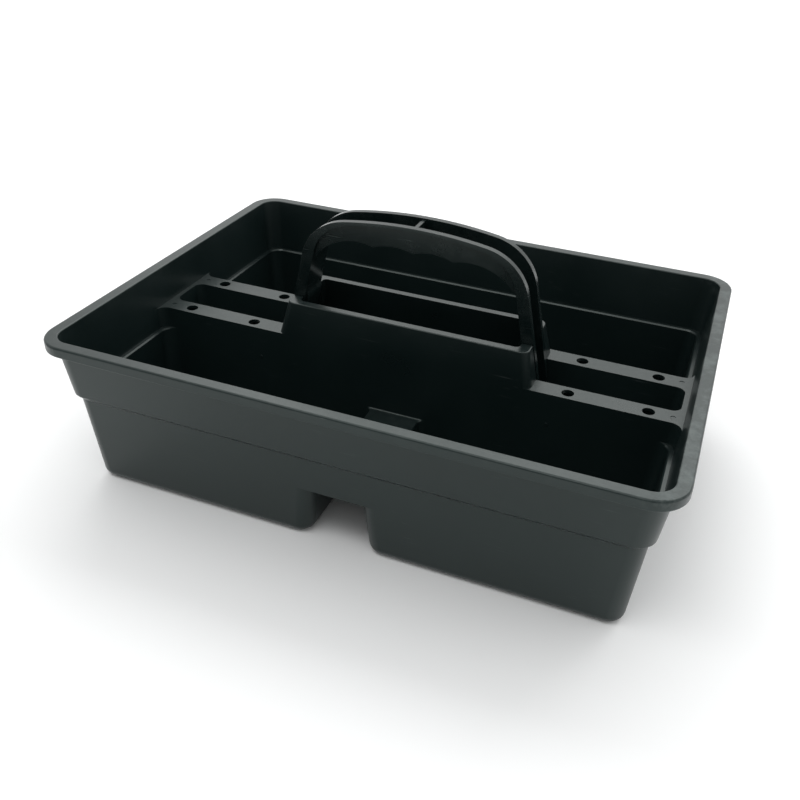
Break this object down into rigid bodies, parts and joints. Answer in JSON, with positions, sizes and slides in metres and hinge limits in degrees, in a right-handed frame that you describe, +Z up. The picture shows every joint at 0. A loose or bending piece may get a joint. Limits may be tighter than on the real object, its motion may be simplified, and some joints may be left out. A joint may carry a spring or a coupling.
{
  "type": "cleaning caddy",
  "caption": "Open two-compartment carry caddy with a hollow central divider, drilled tool trays at both ends and an arched plug-in carry handle.",
  "frame": {"origin": "centre of the standing plane under the tub", "axes": "+Z up, +X along the divider, towards the right-hand tool tray, +Y towards the rear compartment"},
  "size_m": [0.38, 0.28, 0.163],
  "materials": {
    "tub_plastic": "moulded polypropylene, dark charcoal with a slight green tint, satin",
    "handle_plastic": "moulded polypropylene, dark charcoal, satin"
  },
  "bodies": {
    "tub": {"tub": "tub_plastic"},
    "handle": {"carry_handle": "handle_plastic"}
  },
  "joints": [
    {"name": "handle_lift", "type": "slide", "parent": "tub", "child": "handle", "axis": [0, 0, 1], "range_m": [0, 0.06]}
  ]
}
